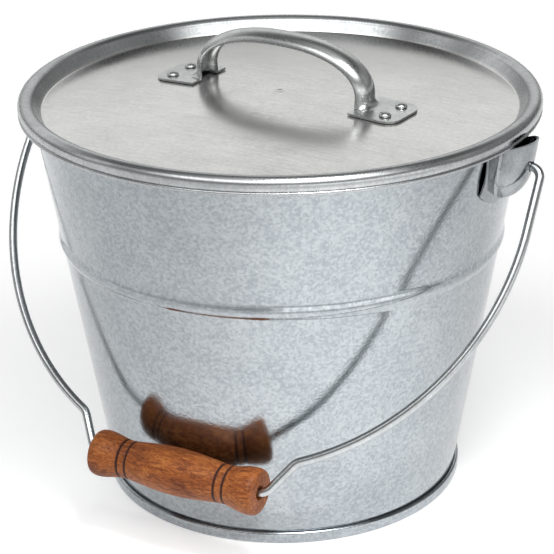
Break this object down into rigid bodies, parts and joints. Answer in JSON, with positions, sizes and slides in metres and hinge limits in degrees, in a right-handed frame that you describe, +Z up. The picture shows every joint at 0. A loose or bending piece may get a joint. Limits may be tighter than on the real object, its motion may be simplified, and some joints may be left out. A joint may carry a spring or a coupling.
{
  "type": "lidded feed bucket",
  "caption": "Galvanised steel feed bucket with a recessed lift-off lid, a riveted lid handle, pressed ears and a swinging wire bail with a turned wooden grip.",
  "frame": {"origin": "centre of the bucket on the surface it stands on", "axes": "+Z up along the bucket's axis, +X along the ears, with the bail hanging towards -Y"},
  "size_m": [0.329, 0.2992, 0.2709],
  "materials": {
    "galvanised": "zinc spangle, satin",
    "lid_steel": "satin",
    "bright_steel": "polished pressing",
    "wire": "bright drawn wire",
    "wood": "stained, satin, with burnt grooves"
  },
  "bodies": {
    "bucket": {"body_wall": "galvanised", "rim_wire": "wire", "bottom_pan": "galvanised", "ear_right": "galvanised", "ear_left": "galvanised"},
    "lid": {"lid": "lid_steel", "lid_handle": "bright_steel", "lid_rivet_left_front": "bright_steel", "lid_rivet_left_rear": "bright_steel", "lid_rivet_right_front": "bright_steel", "lid_rivet_right_rear": "bright_steel"},
    "bail": {"bail_wire": "wire"},
    "grip": {"grip": "wood"}
  },
  "joints": [
    {"name": "lid_lift", "type": "slide", "parent": "bucket", "child": "lid", "axis": [0, 0, 1], "range_m": [0, 0.1]},
    {"name": "bail_swing", "type": "hinge", "parent": "bucket", "child": "bail", "pos_m": [0, 0, 0.2151], "axis": [-1, 0, 0], "range_deg": [0, 285.2]},
    {"name": "grip_spin", "type": "hinge", "parent": "bail", "child": "grip", "pos_m": [0, -0.12553, 0.04963], "axis": [1, 0, 0], "continuous": true}
  ]
}
